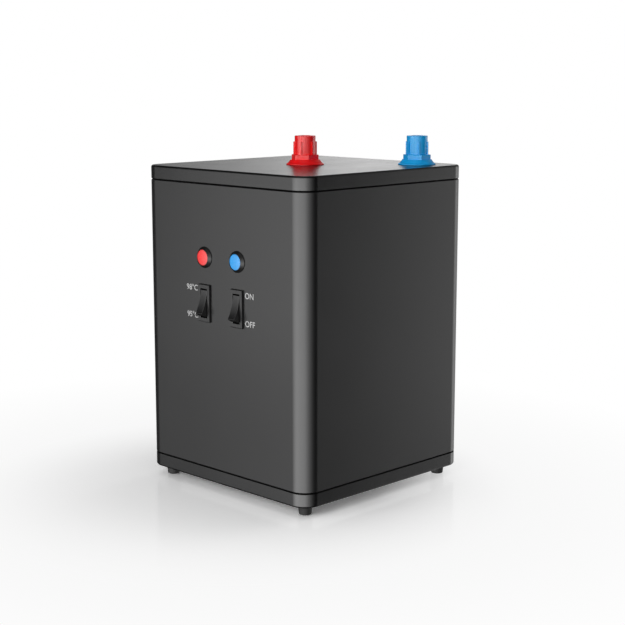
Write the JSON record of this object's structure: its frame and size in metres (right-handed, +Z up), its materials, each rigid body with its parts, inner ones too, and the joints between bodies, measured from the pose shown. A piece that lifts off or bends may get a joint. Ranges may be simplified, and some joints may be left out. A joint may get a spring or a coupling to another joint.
{
  "type": "hot water tank",
  "caption": "Square black under-counter hot water tank on small feet, with red and blue pilot lamps and rocker switches on its front and red and blue hose connectors on its lid.",
  "frame": {"origin": "on the floor, under the middle of the casing", "axes": "+Z up; the front panel with the lamps and rocker switches faces -Y; +X is to the right seen from the front"},
  "size_m": [0.19, 0.2054, 0.2905],
  "materials": {
    "casing_black": "satin powder coat",
    "moulded_black": "fine moulded texture",
    "switch_black": "satin gloss",
    "rubber_black": "matt",
    "hot_red": "moulded gloss",
    "cold_blue": "moulded gloss",
    "lens_red": "frosted lens",
    "lens_blue": "frosted lens",
    "stainless": "brushed",
    "brass": "plain machined",
    "foam_white": "foam bead",
    "nylon_white": "moulded nylon",
    "silicone_red": "matt",
    "board_green": "solder mask",
    "part_blue": "moulded",
    "core_grey": "moulded",
    "lead_red": "insulation",
    "lead_blue": "insulation",
    "lead_green": "insulation",
    "lead_black": "insulation"
  },
  "bodies": {
    "tank": {"base_cap": "moulded_black", "body_sleeve": "casing_black", "top_cap": "moulded_black", "foot_front_left": "rubber_black", "foot_front_right": "rubber_black", "foot_rear_left": "rubber_black", "foot_rear_right": "rubber_black", "hot_outlet_connector": "hot_red", "hot_sealing_washer": "silicone_red", "hot_lock_nut": "nylon_white", "cold_inlet_connector": "cold_blue", "cold_sealing_washer": "silicone_red", "cold_lock_nut": "nylon_white", "red_lamp_bezel": "switch_black", "red_lamp_lens": "lens_red", "red_lamp_nut": "brass", "red_lamp_base": "nylon_white", "blue_lamp_bezel": "switch_black", "blue_lamp_lens": "lens_blue", "blue_lamp_nut": "brass", "blue_lamp_base": "nylon_white", "temperature_switch_housing": "switch_black", "temperature_switch_base": "nylon_white", "power_switch_housing": "switch_black", "power_switch_base": "nylon_white", "cable_gland": "moulded_black", "gland_nut": "moulded_black", "inner_tank": "stainless", "tank_stand": "nylon_white", "insulation_front_half": "foam_white", "insulation_rear_half": "foam_white", "hot_outlet_pipe": "stainless", "cold_inlet_pipe": "stainless", "drain_tube": "stainless", "drain_plug": "brass", "flange_gasket": "silicone_red", "element_flange": "brass", "flange_bolt_1": "stainless", "flange_bolt_2": "stainless", "flange_bolt_3": "stainless", "flange_bolt_4": "stainless", "heating_element": "stainless", "sensor_pocket": "stainless", "temperature_sensor": "nylon_white", "thermal_cutout": "core_grey", "board_bracket": "nylon_white", "control_board": "board_green", "board_transformer": "core_grey", "board_relay": "part_blue", "board_header": "nylon_white", "terminal_block": "nylon_white", "power_live_lead": "lead_black", "switched_live_lead": "lead_black", "selector_lead": "lead_red", "element_live_lead": "lead_red", "element_neutral_lead": "lead_blue", "earth_lead": "lead_green", "sensor_lead": "lead_black"},
    "temperature_rocker": {"temperature_switch_rocker": "switch_black"},
    "power_rocker": {"power_switch_rocker": "switch_black"}
  },
  "joints": [
    {"name": "temperature_rocker_hinge", "type": "hinge", "parent": "tank", "child": "temperature_rocker", "pos_m": [-0.0195, -0.0947, 0.1581], "axis": [1, 0, 0], "range_deg": [0, 35]},
    {"name": "power_rocker_hinge", "type": "hinge", "parent": "tank", "child": "power_rocker", "pos_m": [0.0195, -0.0947, 0.1581], "axis": [1, 0, 0], "range_deg": [0, 35]}
  ]
}
